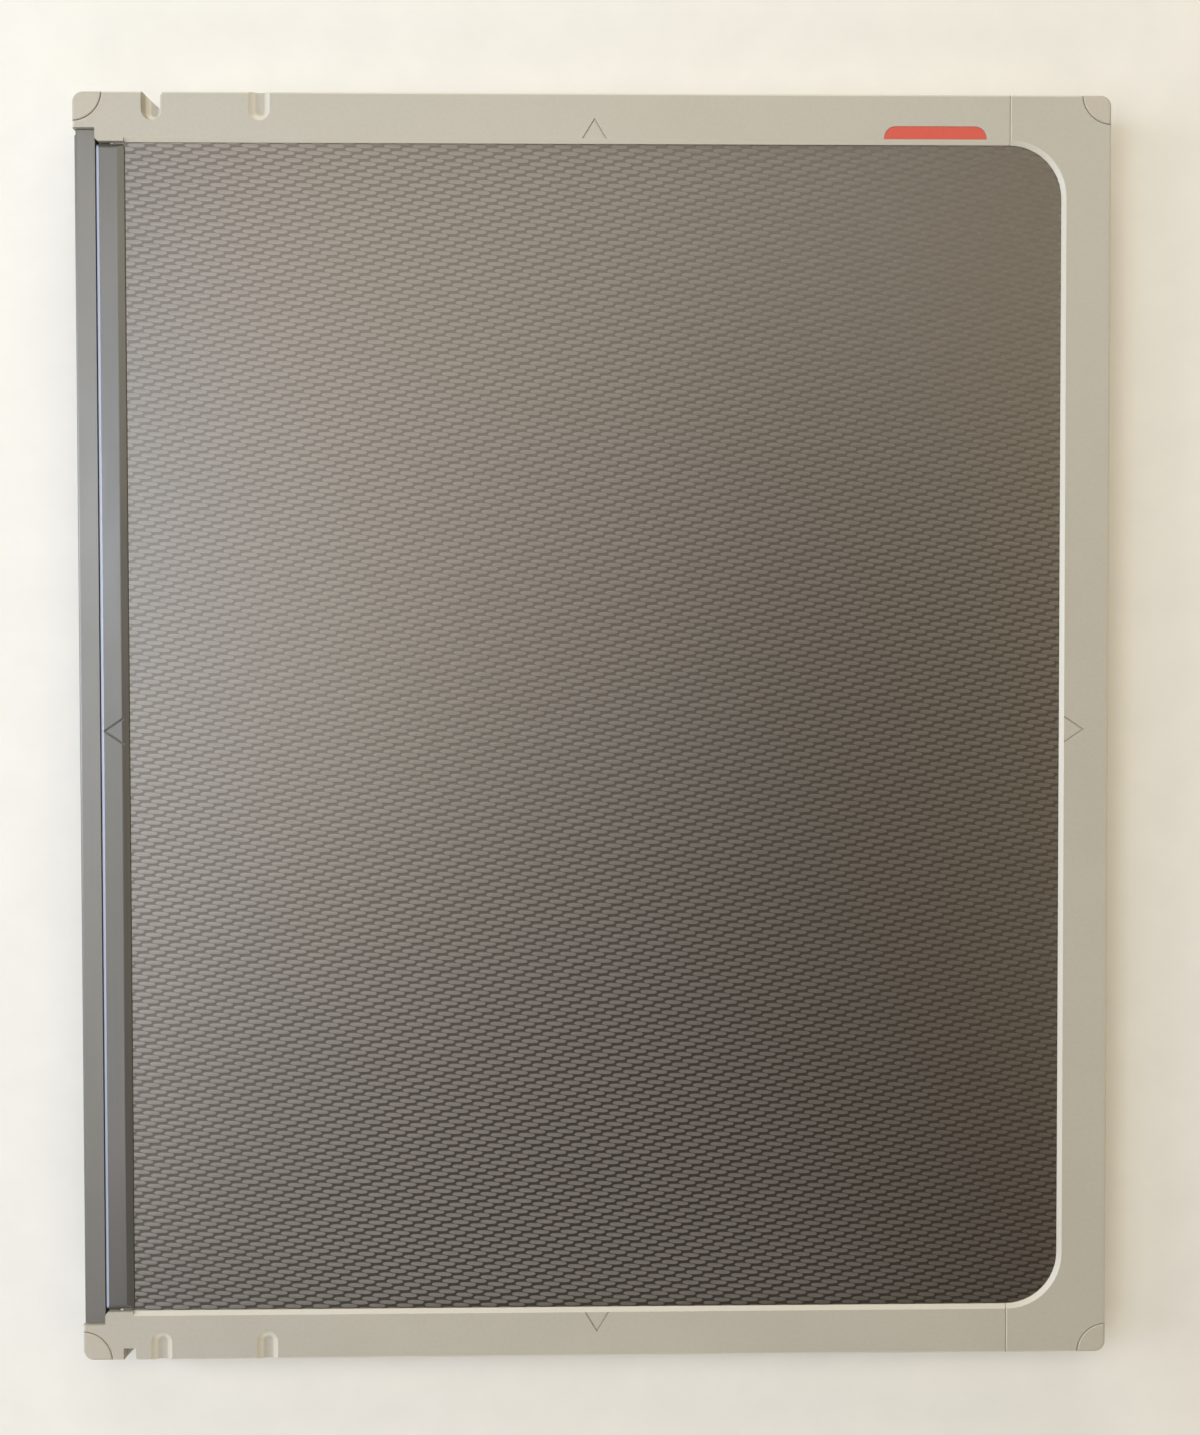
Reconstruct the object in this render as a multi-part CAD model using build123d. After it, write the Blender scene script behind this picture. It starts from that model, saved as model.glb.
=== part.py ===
from build123d import *
from math import atan2, degrees, hypot
import os

os.makedirs("parts", exist_ok=True)

# An x-ray film cassette, closed, lying on its back cover with the tube side up.
# Millimetres. X runs across it (the hinge is at +X, the latches at -X), Y runs
# along it and Z runs up through it. The origin is in the middle of the back face.
# The root half is the back cover with the lip bar. The tube half swings on the hinge.

# ---- Driving sizes: format and outline ----
film_width = 240.0            # nominal film format across
film_length = 300.0           # nominal film format along
opening_extra_width = 0.2     # the panel shows this much wider than the format
opening_extra_length = 0.6    # and this much longer
rail_width = 12.7             # outer face to the visible panel, on three sides
lip_bar_width = 5.5
edge_bar_width = 7.3
bar_gap = 0.3                 # between the lip bar and the edge bar
thickness = 14.5              # outside, back face to tube face
corner_radius = 2.8           # vertical outer corners
top_edge_radius = 0.8
inner_corner_radius = 13.5    # visible opening, at its two hinge-side corners

# ---- Driving sizes: the tube half's frame ----
panel_recess = 1.0            # panel face below the frame's face
chamfer_width = 1.0
lip_land = 0.2                # upright land between the chamfer and the panel
rebate_depth = 4.0            # how far the panel runs under the frame
rebate_clearance = 0.1
cavity_setback = 0.7          # frame's inner wall, behind the visible edge
cavity_corner_radius = 3.0
seam_gap = 0.1                # between the frame's pieces
bumper_radius = 7.4
bumper_gap = 0.2
groove_bevel = 0.2            # bevel on both edges of each seam and bumper gap
block_setback = 3.4           # corner blocks step back from the opening by this
step_radius = 1.2
end_clearance = 0.15          # lip bar's ends to the corner blocks

# ---- Driving sizes: panel and layers ----
skin_thickness = 0.4
panel_core_thickness = 1.6
screen_thickness = 0.4
film_thickness = 0.2
film_gap = 0.3                # between the film and the front screen
back_plate = 2.0
core_board_thickness = 3.0
foil_thickness = 0.2
board_trim = 0.4              # board and foil, short of the cavity wall
screen_trim = 1.0             # screens and pad, smaller than the format
film_trim = 2.0               # film, smaller than the format
screen_corner_radius = 3.0
film_corner_radius = 6.0
blocker_length = 68.0
blocker_width = 20.0
blocker_thickness = 0.2
blocker_clearance = 0.3

# ---- Driving sizes: hinge ----
barrel_radius = 2.3
pin_radius = 1.2
pin_clearance = 0.1
pin_head_radius = 1.9
pin_head_thickness = 0.6
leaf_thickness = 0.8
leaf_margin = 0.6             # leaf edge to the cavity wall
knuckle_count = 11
knuckle_pitch = 26.0
knuckle_gap = 0.4
barrel_clearance = 0.4
cheek_margin = 0.2            # cheek radius over barrel radius
floor_clearance = 0.1
parting_gap = 0.2             # back half's rims to the tube half

# ---- Driving sizes: back cover ----
rim_thickness = 2.4
rib_thickness = 1.2
rib_height = 7.0              # over the back plate
rib_end_margin = 2.0          # rib ends to the visible opening's ends
groove_clearance = 0.4
groove_end_clearance = 1.0
rib_setback = 4.2             # cavity wall to the rib
bottom_edge_radius = 0.6
label_length = 90.0
label_width = 42.0
label_thickness = 0.4
label_pocket = 0.5
label_clearance = 0.15
label_corner_margin = 22.0

# ---- Driving sizes: bars and latches ----
lip_drop = 1.0                # lip bar's top below the frame's face
lip_edge_radius = 1.0
lip_step_width = 0.6          # the lip bar is this much narrower at its top end
lip_step_length = 1.3
edge_bar_drop = 0.1
edge_bevel = 1.0
edge_bevel_panel_side = 1.7
edge_bevel_end = 1.5
edge_bevel_end_height = 1.2
edge_bar_corner_radius = 1.5
slide_width = 2.6
slide_height = 3.0
slide_clearance = 0.2
slide_length = 60.0
slide_tip_chamfer = 0.4
latch_travel = 2.0
bolt_end_clearance = 0.3
button_length = 16.0
button_height = 4.4
button_from_end = 37.0        # lip bar's end to the near end of the button
button_sink = 0.2             # button face below the bar's face
button_window_clearance = 0.3
button_rib_count = 5
button_groove = 0.5
spring_thickness = 0.25
spring_length = 14.0
spring_rise = 0.45
spring_from_end = 10.0
spring_clearance = 0.05
strike_thickness = 0.5
strike_margin = 0.9
seal_width = 4.4
seal_clearance = 0.3
hinge_seal_width = 1.6
hinge_seal_offset = 0.2

# ---- Driving sizes: marks on the frame ----
scoop_width = 5.4
scoop_depth = 1.15            # of the shallow scoops
scoop_reach = 7.4
first_scoop = 20.3            # latch-side outer face to the first scoop
scoop_pitch = 27.3
deep_scoop_depth = 2.6
top_vee_width = 4.0
top_vee_depth = 3.6
top_vee_start = 17.8
bottom_vee_width = 3.2
bottom_vee_depth = 3.2
bottom_vee_start = 10.5
vee_slot_depth = 2.5          # square slot over the bottom vee notch
marker_length = 26.3
marker_width = 3.2
marker_from_seam = 6.2
marker_from_chamfer = 0.2
marker_corner = 3.0
marker_thickness = 0.5
marker_pocket = 0.55
marker_clearance = 0.05
triangle_height = 4.7
triangle_half_base = 2.9
side_triangle_half_base = 3.2
triangle_from_chamfer = 0.2
engraving_width = 0.35
engraving_depth = 0.3

# ---- Driving sizes: fasteners ----
screw_radius = 0.9
screw_head_radius = 1.7
screw_head_height = 0.9
screw_cover = 0.5             # screw tips to the panel's underside
screw_clearance = 0.1
slot_width = 0.5
slot_depth = 0.45
plate_thickness = 1.4         # splice plates and corner brackets
plate_width = 4.0
plate_length = 22.0
plate_clearance = 0.1
plate_screw_margin = 3.5
bracket_length = 15.0
lip_screw_radius = 1.1
lip_screw_head_radius = 2.2
lip_screw_head_height = 1.2
lip_screw_length = 4.2
lip_screw_sink = 0.3
lip_screw_count = 5
lip_screw_end_margin = 6.0
rivet_radius = 1.0
rivet_head_radius = 1.7
rivet_head_height = 0.6
rivet_sink = 0.2
rivet_length = 3.6

# ---- Derived places ----
opening_width = film_width + opening_extra_width
opening_length = film_length + opening_extra_length
outer_width = lip_bar_width + bar_gap + edge_bar_width + opening_width + rail_width
outer_length = opening_length + 2 * rail_width
left = -outer_width / 2
right = outer_width / 2
end = outer_length / 2                       # outer face at both ends, as |Y|
opening_right = right - rail_width
opening_left = opening_right - opening_width
opening_end = opening_length / 2
lip_inner = left + lip_bar_width
edge_bar_left = lip_inner + bar_gap
block_y = opening_end + block_setback
lip_end = block_y - end_clearance
seam_x = opening_right - inner_corner_radius

cavity_right = opening_right + cavity_setback
cavity_left = opening_left - cavity_setback
cavity_end = opening_end + cavity_setback
stack_x = (cavity_left + cavity_right) / 2

axis_x = right - barrel_radius - cheek_margin
cheek_radius = barrel_radius + cheek_margin
axis_z = cheek_radius + floor_clearance
rim_top = axis_z + cheek_radius
parting_z = rim_top + parting_gap

panel_top = thickness - panel_recess
core_top = panel_top - skin_thickness
core_bottom = core_top - panel_core_thickness
panel_bottom = core_bottom - skin_thickness
screw_length = panel_bottom - parting_z - screw_head_height - screw_cover
board_top = back_plate + core_board_thickness
foil_top = board_top + foil_thickness
front_screen_bottom = panel_bottom - screen_thickness
film_top = front_screen_bottom - film_gap
film_bottom = film_top - film_thickness
pad_top = film_bottom - screen_thickness     # the pad fills what the layers leave

rebate_left = opening_left - rebate_depth
rebate_right = opening_right + rebate_depth
rebate_end = opening_end + rebate_depth

screen_width = film_width - screen_trim
screen_length = film_length - screen_trim
screen_right = stack_x + screen_width / 2
screen_end = screen_length / 2

leaf_inner_x = cavity_right + leaf_margin
leaf_root_x = axis_x - barrel_radius - barrel_clearance
rivet_x = leaf_root_x - rivet_head_radius - screw_clearance
hinge_half = knuckle_count * knuckle_pitch / 2
cheek_start = hinge_half + pin_head_thickness + barrel_clearance

rib_y = cavity_end + rib_setback
rib_top = back_plate + rib_height
rib_left = opening_left + rib_end_margin
rib_right = opening_right - rib_end_margin

lip_top = thickness - lip_drop
edge_bar_top = thickness - edge_bar_drop
slide_x = left + lip_bar_width / 2
slide_z = (parting_z + lip_top) / 2
slide_tip = lip_end - slide_clearance
button_outer_x = left + button_sink
button_inner_x = slide_x - slide_width / 2
channel_half_width = slide_width / 2 + slide_clearance
channel_half_height = slide_height / 2 + slide_clearance
channel_back = lip_end - slide_length - slide_clearance
button_start = lip_end - button_from_end - button_length
pocket_end = slide_tip + latch_travel + bolt_end_clearance


# ---- Small makers ----
def block(x0, x1, y0, y1, z0, z1):
    """A box between three pairs of faces."""
    middle = Pos((x0 + x1) / 2, (y0 + y1) / 2, (z0 + z1) / 2)
    return middle * Box(x1 - x0, y1 - y0, z1 - z0)


def rod(x, y, z0, z1, radius):
    """An upright cylinder."""
    return Pos(x, y, (z0 + z1) / 2) * Cylinder(radius, z1 - z0)


def rod_along_y(x, z, y0, y1, radius):
    """A cylinder that lies along Y."""
    return Pos(x, (y0 + y1) / 2, z) * Rot(90, 0, 0) * Cylinder(radius, y1 - y0)


def sheet(x, width, length, radius, z0, z1):
    """A flat sheet with rounded corners, centred on Y = 0."""
    outline = Pos(x, 0, z0) * RectangleRounded(width, length, radius)
    return extrude(outline, amount=z1 - z0)


def mirrored(shape):
    """The same shape at the other end of the cassette."""
    return mirror(shape, about=Plane.XZ)


def both_ends(shape):
    """A cutter and its mirror image, as one tool."""
    return shape + mirrored(shape)


def along_y(points, y0, y1):
    """A prism: an outline in X and Z, carried from y0 to y1."""
    outline = make_face(Polyline(*points, close=True))
    face = Plane(origin=(0, y1, 0), x_dir=(1, 0, 0), z_dir=(0, -1, 0)) * outline
    return extrude(face, amount=y1 - y0)


def along_x(points, x0, x1):
    """A prism: an outline in Y and Z, carried from x0 to x1."""
    outline = make_face(Polyline(*points, close=True))
    face = Plane(origin=(x0, 0, 0), x_dir=(0, 1, 0), z_dir=(1, 0, 0)) * outline
    return extrude(face, amount=x1 - x0)


def upright(points, z0, z1):
    """A prism: an outline in X and Y, carried from z0 to z1."""
    outline = make_face(Polyline(*points, close=True))
    return extrude(Pos(0, 0, z0) * outline, amount=z1 - z0)


def hinge_side_outline(grow, left_x):
    """The opening's outline grown by an amount, rounded at its hinge-side corners only."""
    x1 = opening_right + grow
    y1 = opening_end + grow
    radius = inner_corner_radius + grow
    whole = Pos((left_x + x1) / 2, 0) * Rectangle(x1 - left_x, 2 * y1)
    corners = whole.vertices().group_by(Axis.X)[-1]
    return fillet(corners, radius)


def group(*solids):
    """Separate solids kept in one node."""
    return Compound(list(solids))


def screw(x, y, z, radius, head_radius, head_height, length, slot=True):
    """A flat-headed screw driven upwards, its head's face at z."""
    body = rod(x, y, z, z + head_height, head_radius)
    body += rod(x, y, z + head_height, z + head_height + length, radius)
    if slot:
        body -= block(x - head_radius, x + head_radius, y - slot_width / 2, y + slot_width / 2,
                      z, z + slot_depth)
    return body


def screw_hole(x, y, z, radius, head_radius, head_height, length):
    """The clearance that a screw of the same sizes needs."""
    hole = rod(x, y, z, z + head_height, head_radius + screw_clearance)
    hole += rod(x, y, z + head_height - screw_clearance,
                z + head_height + length + screw_clearance, radius + screw_clearance)
    return hole


small_screw = (screw_radius, screw_head_radius, screw_head_height, screw_length)
lip_screw = (lip_screw_radius, lip_screw_head_radius, lip_screw_head_height, lip_screw_length)


# ---- Shared outline ----
def outer_prism(z0, z1):
    """The whole outline with its rounded upright corners."""
    return sheet(0, outer_width, outer_length, corner_radius, z0, z1)


def outer_block():
    """The tube half's outside, with its tube-side edge rounded."""
    body = outer_prism(parting_z, thickness)
    return fillet(body.faces().sort_by(Axis.Z)[-1].edges(), top_edge_radius)


# ---- Tube half: frame ----
splice_y = (rib_y + rib_thickness + groove_clearance + end) / 2
splice_screw_places = [(seam_x + side * (plate_length / 2 - plate_screw_margin), splice_y)
                       for side in (-1, 1)]
bracket_x = (edge_bar_left + cavity_left) / 2
bracket_y0 = cavity_end - bracket_length / 2
bracket_y1 = cavity_end + bracket_length / 2
bracket_screw_places = [(bracket_x, bracket_y0 + plate_screw_margin),
                        (bracket_x, bracket_y1 - plate_screw_margin)]


def splice_plate(grow):
    """The plate under the seam of one rail and the end frame."""
    return block(seam_x - plate_length / 2 - grow, seam_x + plate_length / 2 + grow,
                 splice_y - plate_width / 2 - grow, splice_y + plate_width / 2 + grow,
                 parting_z, parting_z + plate_thickness)


def corner_bracket(grow):
    """The plate that ties the edge bar to one rail."""
    return block(bracket_x - plate_width / 2 - grow, bracket_x + plate_width / 2 + grow,
                 bracket_y0 - grow, bracket_y1 + grow, parting_z, parting_z + plate_thickness)


def plate_holes():
    """Screw holes of one end's splice plate and corner bracket."""
    holes = [screw_hole(x, y, parting_z, *small_screw)
             for x, y in splice_screw_places + bracket_screw_places]
    return holes[0] + holes[1:]


def bumper_cylinder(side_x, side_y, grow, flare):
    """A cylinder about one outer corner, wider by flare where it meets the tube face."""
    x, y = side_x * right, side_y * end
    radius = bumper_radius + grow
    shoulder = thickness - groove_bevel
    mouth = Pos(x, y, (shoulder + thickness) / 2) * Cone(radius, radius + flare, groove_bevel)
    return rod(x, y, parting_z - 1, shoulder, radius) + mouth


def bumper(side_x, side_y):
    """The soft corner piece: the outline's corner, bounded by an arc about it."""
    return outer_block() & bumper_cylinder(side_x, side_y, 0, -groove_bevel)


def scoop(x, depth):
    """A channel in from the top end, an arc in section, with a round inner end."""
    half = scoop_width / 2
    radius = (half ** 2 + depth ** 2) / (2 * depth)
    centre_z = thickness - depth + radius
    inner_y = end - scoop_reach + half
    return (rod_along_y(x, centre_z, inner_y, end + radius, radius)
            + Pos(x, inner_y, centre_z) * Sphere(radius))


def seam_groove():
    """A bevelled groove along one rail's seam."""
    half = seam_gap / 2 + groove_bevel
    points = [(seam_x - half, thickness), (seam_x, thickness - half), (seam_x + half, thickness),
              (seam_x + half, thickness + 1), (seam_x - half, thickness + 1)]
    return along_y(points, opening_end - 1, end + 1)


def vee(start, width, depth, side_y):
    """A notch right through the end face: one slanted side, one square side."""
    x0 = left + start
    x1 = x0 + width
    points = [(x0, side_y * end), (x1, side_y * (end - depth)), (x1, side_y * (end + 1)),
              (x0, side_y * (end + 1))]
    return upright(points, -1, thickness + 1)


top_vee = (top_vee_start, top_vee_width, top_vee_depth, 1)
bottom_vee = (bottom_vee_start, bottom_vee_width, bottom_vee_depth, -1)


def bottom_vee_slot():
    """The square slot over the bottom vee notch."""
    x0 = left + bottom_vee_start
    return block(x0, x0 + bottom_vee_width, -end - 1, -end + bottom_vee_depth,
                 thickness - vee_slot_depth, thickness + 1)


def engraved_line(a, b, face_z):
    """A thin square groove from point a to point b in a face at face_z."""
    length = hypot(b[0] - a[0], b[1] - a[1]) + engraving_width
    turn = degrees(atan2(b[1] - a[1], b[0] - a[0]))
    middle = Pos((a[0] + b[0]) / 2, (a[1] + b[1]) / 2, face_z)
    return middle * Rot(0, 0, turn) * Box(length, engraving_width, 2 * engraving_depth)


def end_triangle():
    """Centring triangle of the top rail, its point away from the panel."""
    base_y = opening_end + chamfer_width + triangle_from_chamfer
    tip = (0, base_y + triangle_height)
    arms = [engraved_line((side * triangle_half_base, base_y), tip, thickness) for side in (-1, 1)]
    return arms[0] + arms[1]


def side_triangle(base_x, direction, face_z):
    """Centring triangle of a long side, its point away from the panel."""
    tip = (base_x + direction * triangle_height, 0)
    arms = [engraved_line((base_x, side * side_triangle_half_base), tip, face_z)
            for side in (-1, 1)]
    return arms[0] + arms[1]


def marker(grow, z0, z1):
    """The marker inlay's outline, rounded at its two outer corners."""
    x1 = seam_x - marker_from_seam + grow
    x0 = seam_x - marker_from_seam - marker_length - grow
    y0 = opening_end + chamfer_width + marker_from_chamfer - grow
    y1 = y0 + marker_width + 2 * grow
    outline = Pos((x0 + x1) / 2, (y0 + y1) / 2) * Rectangle(x1 - x0, y1 - y0)
    outline = fillet(outline.vertices().group_by(Axis.Y)[-1], marker_corner)
    return extrude(Pos(0, 0, z0) * outline, amount=z1 - z0)


def strike(grow):
    """The plate round one bolt pocket, let into the corner block's face."""
    half_x = slide_width / 2 + strike_margin + grow
    half_z = slide_height / 2 + strike_margin + grow
    return block(slide_x - half_x, slide_x + half_x, block_y, block_y + strike_thickness,
                 slide_z - half_z, slide_z + half_z)


def bolt_pocket():
    """The hole that one bolt enters."""
    return block(slide_x - channel_half_width, slide_x + channel_half_width, block_y, pocket_end,
                 slide_z - channel_half_height, slide_z + channel_half_height)


def frame_ring():
    """The frame in one piece, before it is split at its seams."""
    ring = outer_block()
    below = parting_z - 1
    above = thickness + 1
    # The visible opening, with its step back at the corner blocks.
    opening = extrude(Pos(0, 0, below) * hinge_side_outline(0, left - 1), amount=above - below)
    ring -= opening
    step = block(left - 1, edge_bar_left, -block_y, block_y, below, above)
    ring -= step
    corners = ring.edges().filter_by(Axis.Z).filter_by(
        lambda e: abs(e.center().X - edge_bar_left) < 0.01
        and abs(abs(e.center().Y) - opening_end) < 0.01)
    ring = fillet(corners, step_radius)
    # The sloped edge round the panel.
    low = Pos(0, 0, panel_top + lip_land) * hinge_side_outline(0, opening_left)
    high = Pos(0, 0, thickness) * hinge_side_outline(chamfer_width, opening_left)
    ring -= loft([low, high])
    # The rebate that holds the panel, and the space for the film under it.
    rebate = hinge_side_outline(rebate_depth, rebate_left)
    ring -= extrude(Pos(0, 0, panel_bottom) * rebate, amount=panel_top - panel_bottom)
    cavity = Pos((edge_bar_left + cavity_right) / 2, 0) * Rectangle(
        cavity_right - edge_bar_left, 2 * cavity_end)
    cavity = fillet(cavity.vertices().group_by(Axis.X)[-1], cavity_corner_radius)
    ring -= extrude(Pos(0, 0, below) * cavity, amount=panel_bottom - below)
    # Grooves that the back cover's ribs stand in.
    groove = block(rib_left - groove_end_clearance, rib_right + groove_end_clearance,
                   rib_y - groove_clearance, rib_y + rib_thickness + groove_clearance,
                   below, rib_top + groove_clearance)
    ring -= both_ends(groove)
    # Room for the corner bumpers.
    for side_x in (-1, 1):
        for side_y in (-1, 1):
            ring -= bumper_cylinder(side_x, side_y, bumper_gap, groove_bevel)
    # Scoops, notches and marks.
    ring -= scoop(left + first_scoop, deep_scoop_depth)
    ring -= mirrored(scoop(left + first_scoop, scoop_depth))
    ring -= both_ends(scoop(left + first_scoop + scoop_pitch, scoop_depth))
    ring -= vee(*top_vee)
    ring -= vee(*bottom_vee) + bottom_vee_slot()
    ring -= both_ends(seam_groove())
    ring -= both_ends(end_triangle())
    base_x = opening_right + chamfer_width + triangle_from_chamfer
    ring -= side_triangle(base_x, 1, thickness)
    ring -= marker(marker_clearance, thickness - marker_pocket, above)
    # Bolt pockets, strikes, plates and screws.
    ring -= both_ends(bolt_pocket())
    ring -= both_ends(strike(0))
    ring -= both_ends(splice_plate(plate_clearance))
    ring -= both_ends(corner_bracket(plate_clearance))
    ring -= both_ends(plate_holes())
    for x, y in front_rivet_places():
        ring -= rod(x, y, parting_z, parting_z + rivet_length + screw_clearance,
                    rivet_radius + screw_clearance)
    return ring


def cut_frame(ring):
    """The end frame, the top rail and the bottom rail."""
    far = 2 * outer_width
    low = seam_x - seam_gap / 2
    high = seam_x + seam_gap / 2
    end_frame = ring & block(high, far, -far, far, -far, far)
    top_rail = ring & block(-far, low, 0, far, -far, far)
    bottom_rail = ring & block(-far, low, -far, 0, -far, far)
    return end_frame, top_rail, bottom_rail


# ---- Tube half: panel ----
def panel_layer(z0, z1):
    """One layer of the panel, clear of the rebate's walls."""
    inset = rebate_depth - rebate_clearance
    outline = hinge_side_outline(inset, rebate_left + rebate_clearance)
    return extrude(Pos(0, 0, z0) * outline, amount=z1 - z0)


def edge_bar():
    """The bar down the latch-side edge of the panel."""
    base_end = cavity_end - rebate_clearance
    raised_end = opening_end - seam_gap
    base = block(edge_bar_left, cavity_left, -base_end, base_end, parting_z, panel_bottom)
    profile = [
        (edge_bar_left, panel_bottom),
        (edge_bar_left, edge_bar_top - edge_bevel),
        (edge_bar_left + edge_bevel, edge_bar_top),
        (opening_left - edge_bevel_panel_side, edge_bar_top),
        (opening_left, panel_top + lip_land),
        (opening_left, panel_top),
        (rebate_left, panel_top),
        (rebate_left, panel_bottom),
    ]
    flat_end = raised_end - edge_bevel_end
    shoulder = edge_bar_top - edge_bevel_end_height
    side_profile = [(-raised_end, panel_bottom), (-raised_end, shoulder), (-flat_end, edge_bar_top),
                    (flat_end, edge_bar_top), (raised_end, shoulder), (raised_end, panel_bottom)]
    plan = sheet((edge_bar_left + opening_left) / 2, edge_bar_width, 2 * raised_end,
                 edge_bar_corner_radius, panel_bottom, thickness)
    raised = along_y(profile, -raised_end, raised_end)
    raised &= along_x(side_profile, edge_bar_left, opening_left)
    body = base + (raised & plan)
    base_x = opening_left - edge_bevel_panel_side + triangle_from_chamfer
    body -= side_triangle(base_x, -1, edge_bar_top)
    body -= both_ends(corner_bracket(plate_clearance))
    body -= both_ends(plate_holes())
    return body


def front_screen():
    """The screen under the panel, notched for the identification blocker."""
    body = sheet(stack_x, screen_width, screen_length, screen_corner_radius,
                 front_screen_bottom, panel_bottom)
    notch_x = screen_right - blocker_length - blocker_clearance
    notch_y = screen_end - blocker_width - blocker_clearance
    return body - block(notch_x, right, notch_y, end, front_screen_bottom - 1, panel_bottom)


def id_blocker():
    """The lead patch that keeps one corner of the film for its identification."""
    return block(screen_right - blocker_length, screen_right, screen_end - blocker_width,
                 screen_end, panel_bottom - blocker_thickness, panel_bottom)


# ---- Hinge ----
def knuckle_span(index):
    """The two ends of one knuckle along Y."""
    start = -hinge_half + index * knuckle_pitch
    return start + knuckle_gap / 2, start + knuckle_pitch - knuckle_gap / 2


def knuckle_places(first):
    """The middles of every second knuckle."""
    return [(rivet_x, sum(knuckle_span(i)) / 2) for i in range(first, knuckle_count, 2)]


def back_rivet_places():
    return knuckle_places(0)


def front_rivet_places():
    return knuckle_places(1)


def hinge_leaf(first, z0):
    """A strip with every second knuckle, bored for the pin."""
    z1 = z0 + leaf_thickness
    span_end = hinge_half - knuckle_gap / 2
    leaf = block(leaf_inner_x, leaf_root_x, -span_end, span_end, z0, z1)
    for index in range(first, knuckle_count, 2):
        y0, y1 = knuckle_span(index)
        leaf += block(leaf_root_x, axis_x, y0, y1, z0, z1)
        leaf += rod_along_y(axis_x, axis_z, y0, y1, barrel_radius)
    return leaf - rod_along_y(axis_x, axis_z, -hinge_half, hinge_half, pin_radius + pin_clearance)


def hinge_leaf_back():
    leaf = hinge_leaf(0, back_plate)
    for x, y in back_rivet_places():
        leaf -= rod(x, y, back_plate, back_plate + leaf_thickness, rivet_radius + screw_clearance)
    return leaf


def hinge_leaf_front():
    leaf = hinge_leaf(1, parting_z - leaf_thickness)
    for x, y in front_rivet_places():
        leaf -= rod(x, y, parting_z - leaf_thickness, parting_z, rivet_radius + screw_clearance)
    return leaf


def hinge_pin():
    """The pin, with a peened head at each end."""
    pin = rod_along_y(axis_x, axis_z, -hinge_half, hinge_half, pin_radius)
    head = rod_along_y(axis_x, axis_z, hinge_half, hinge_half + pin_head_thickness,
                       pin_head_radius)
    return pin + both_ends(head)


def back_rivet(x, y):
    """A rivet from under the back cover up through the back leaf."""
    leaf_top = back_plate + leaf_thickness
    body = rod(x, y, rivet_sink, rivet_sink + rivet_head_height, rivet_head_radius)
    body += rod(x, y, rivet_sink, leaf_top, rivet_radius)
    return body + rod(x, y, leaf_top, leaf_top + rivet_head_height, rivet_head_radius)


def front_rivet(x, y):
    """A rivet from under the front leaf up into the end frame."""
    leaf_bottom = parting_z - leaf_thickness
    body = rod(x, y, leaf_bottom - rivet_head_height, leaf_bottom, rivet_head_radius)
    return body + rod(x, y, leaf_bottom, parting_z + rivet_length, rivet_radius)


# ---- Back half ----
def lip_screw_places():
    """Screws along the lip bar, evenly spaced between its ends."""
    reach = lip_end - lip_screw_end_margin
    step = 2 * reach / (lip_screw_count - 1)
    return [(slide_x, -reach + index * step) for index in range(lip_screw_count)]


def label_outline(grow, z0, z1):
    """The label's place in the back face, near the hinge and the top end."""
    x1 = leaf_inner_x - label_corner_margin + grow
    x0 = leaf_inner_x - label_corner_margin - label_length - grow
    y1 = opening_end - label_corner_margin + grow
    y0 = opening_end - label_corner_margin - label_width - grow
    return block(x0, x1, y0, y1, z0, z1)


def back_cover():
    """The back plate with its end rims, corner rims, hinge cheeks and light-trap ribs."""
    body = block(left, leaf_root_x, -end, end, 0, back_plate)
    rim = block(left, axis_x, end - rim_thickness, end, 0, rim_top)
    corner_rim = block(left, left + rim_thickness, block_y, end, 0, rim_top)
    cheek = block(leaf_root_x, axis_x, cheek_start, end, 0, rim_top)
    cheek += rod_along_y(axis_x, axis_z, cheek_start, end, cheek_radius)
    rib = block(rib_left, rib_right, rib_y, rib_y + rib_thickness, back_plate, rib_top)
    body += both_ends(rim + corner_rim + cheek + rib)
    body &= outer_prism(0, thickness)
    low_edges = body.faces().sort_by(Axis.Z)[0].outer_wire().edges().filter_by(
        lambda e: e.center().X < leaf_root_x - 0.01 or abs(e.center().Y) > end - 0.01)
    body = chamfer(low_edges.filter_by(lambda e: e.center().X < axis_x - 1), bottom_edge_radius)
    body -= label_outline(label_clearance, -1, label_pocket)
    body -= vee(*top_vee) + vee(*bottom_vee)
    for x, y in lip_screw_places():
        body -= screw_hole(x, y, lip_screw_sink, *lip_screw)
        body -= rod(x, y, -1, lip_screw_sink, lip_screw_head_radius + screw_clearance)
    for x, y in back_rivet_places():
        body -= rod(x, y, -1, back_plate, rivet_radius + screw_clearance)
        body -= rod(x, y, -1, rivet_sink + rivet_head_height, rivet_head_radius + screw_clearance)
    return body


def lip_bar():
    """The fixed bar that closes the latch side and carries both latches."""
    body = block(left, lip_inner, -lip_end, lip_end, back_plate, lip_top)
    outer_edge = body.edges().filter_by(Axis.Y).group_by(Axis.Z)[-1].sort_by(Axis.X)[0]
    body = fillet(outer_edge, lip_edge_radius)
    body -= block(left - 1, left + lip_step_width, lip_end - lip_step_length, lip_end + 1,
                  back_plate - 1, lip_top + 1)
    channel = block(slide_x - channel_half_width, slide_x + channel_half_width,
                    channel_back, lip_end + 1,
                    slide_z - channel_half_height, slide_z + channel_half_height)
    window = block(left - 1, slide_x, button_start - button_window_clearance,
                   button_start + button_length + latch_travel + button_window_clearance,
                   slide_z - button_height / 2 - slide_clearance,
                   slide_z + button_height / 2 + slide_clearance)
    body -= both_ends(channel + window + spring_pocket())
    for x, y in lip_screw_places():
        body -= screw_hole(x, y, lip_screw_sink, *lip_screw)
    return body


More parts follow.
